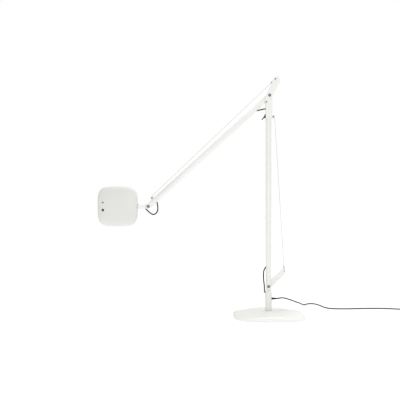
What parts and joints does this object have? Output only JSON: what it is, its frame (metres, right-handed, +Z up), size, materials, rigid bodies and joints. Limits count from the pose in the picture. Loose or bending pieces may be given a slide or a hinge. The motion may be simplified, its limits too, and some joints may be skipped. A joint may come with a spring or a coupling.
{
  "type": "adjustable arm floor lamp",
  "caption": "Floor lamp with spring-balanced arms, a square LED head on a tilting and turning neck, wires and levers at the joints, and a heavy square base.",
  "frame": {"origin": "centre of the base's underside, on the floor", "axes": "+Z up along the post, the arms lie in the plane y = 0, the head reaches towards -X, +Y is the side the light comes out of at rest"},
  "size_m": [1.7643, 0.5964, 1.2015],
  "materials": {
    "white_coat": "satin",
    "white_alloy": "satin",
    "head_shell": "matte",
    "diffuser": "satin",
    "steel": "satin",
    "ballast": "matte",
    "bush": "matte",
    "black_rubber": "matte",
    "cable": "satin",
    "black_plastic": "satin",
    "grey_window": "gloss",
    "aluminium": "satin",
    "circuit_board": "satin"
  },
  "bodies": {
    "base": {"base_cover": "white_coat", "base_weight": "ballast", "base_pad": "black_rubber", "base_screws": "steel", "swivel_spindle": "steel", "thrust_washer": "bush"},
    "column": {"column_tube": "white_alloy", "column_head": "white_alloy", "swivel_bushes": "bush", "foot_washers": "bush", "anchor_pin": "steel", "cord_gland": "black_rubber", "column_lead": "cable", "mains_cord": "cable", "cord_coil": "cable", "plug_body": "black_plastic", "plug_pins": "steel"},
    "lower_wire_end": {"lower_ferrule": "steel"},
    "post": {"post_foot": "white_alloy", "post_tube": "white_alloy", "post_head": "white_alloy", "elbow_lever": "white_alloy", "lever_pins": "steel", "tip_pin": "steel", "foot_bolt": "steel", "foot_nut": "steel", "elbow_bolt": "steel", "elbow_nut": "steel", "post_roller_axle": "steel", "post_spring": "steel", "post_spring_pin": "steel", "post_lead": "cable", "elbow_bumper": "black_rubber", "foot_loop": "cable", "lower_wire": "steel"},
    "post_roller": {"post_roller": "bush"},
    "upper_wire_end": {"upper_ferrule": "steel"},
    "arm": {"arm_root": "white_alloy", "arm_tube": "white_alloy", "arm_end": "white_alloy", "elbow_washers": "bush", "arm_spring": "steel", "arm_spring_pin": "steel", "arm_lead": "cable", "arm_roller_axle": "steel", "head_bolt": "steel", "head_nut": "steel", "elbow_loop": "cable", "upper_wire": "steel"},
    "arm_roller": {"arm_roller": "bush"},
    "neck": {"neck": "white_alloy", "head_washers": "bush", "head_loop": "cable"},
    "head": {"head_shell": "head_shell", "diffuser": "diffuser", "led_board": "aluminium", "heat_spreader": "aluminium", "driver_board": "circuit_board", "sensor_window": "grey_window"},
    "button": {"dimmer_button": "black_plastic"}
  },
  "joints": [
    {"name": "base_swivel", "type": "hinge", "parent": "base", "child": "column", "pos_m": [0, 0, 0.05], "axis": [0, 0, 1], "range_deg": [-170, 170]},
    {"name": "post_tilt", "type": "hinge", "parent": "column", "child": "post", "pos_m": [0, 0, 0.151], "axis": [0, 1, 0], "range_deg": [-30, 25], "deforming": ["lower_wire", "foot_loop", "post_spring"]},
    {"name": "lower_wire_swing", "type": "hinge", "parent": "column", "child": "lower_wire_end", "pos_m": [0.079, 0, 0.228], "axis": [0, 1, 0], "range_deg": [-34, 29]},
    {"name": "post_roller_spin", "type": "hinge", "parent": "post", "child": "post_roller", "pos_m": [0.0235, 0, 0.9975], "axis": [0, 1, 0], "range_deg": [-290, 345]},
    {"name": "arm_tilt", "type": "hinge", "parent": "post", "child": "arm", "pos_m": [0.0055, 0, 1.105], "axis": [0, 1, 0], "range_deg": [-12, 60], "deforming": ["upper_wire", "elbow_loop", "arm_spring"]},
    {"name": "upper_wire_swing", "type": "hinge", "parent": "post", "child": "upper_wire_end", "pos_m": [0.033, 0, 1.186], "axis": [0, 1, 0], "range_deg": [-11.5, 57]},
    {"name": "arm_roller_spin", "type": "hinge", "parent": "arm", "child": "arm_roller", "pos_m": [-0.58154, 0, 0.59258], "axis": [0, 1, 0], "range_deg": [-335, 70]},
    {"name": "head_tilt", "type": "hinge", "parent": "arm", "child": "neck", "pos_m": [-0.59981, 0, 0.55034], "axis": [0, 1, 0], "range_deg": [-100, 45], "deforming": ["head_loop"]},
    {"name": "head_swivel", "type": "hinge", "parent": "neck", "child": "head", "pos_m": [-0.6598, 0, 0.55034], "axis": [1, 0, 0], "range_deg": [-225, 45]},
    {"name": "button_press", "type": "slide", "parent": "head", "child": "button", "axis": [0, 1, 0], "range_m": [0, 0.0008], "stiffness_N_per_m": 800}
  ],
  "couplings": [
    {"joint": "lower_wire_swing", "follows": "post_tilt", "ratio": 1.096},
    {"joint": "post_roller_spin", "follows": "post_tilt", "ratio": -11.3},
    {"joint": "upper_wire_swing", "follows": "arm_tilt", "ratio": 0.938},
    {"joint": "arm_roller_spin", "follows": "arm_tilt", "ratio": -5.5}
  ]
}
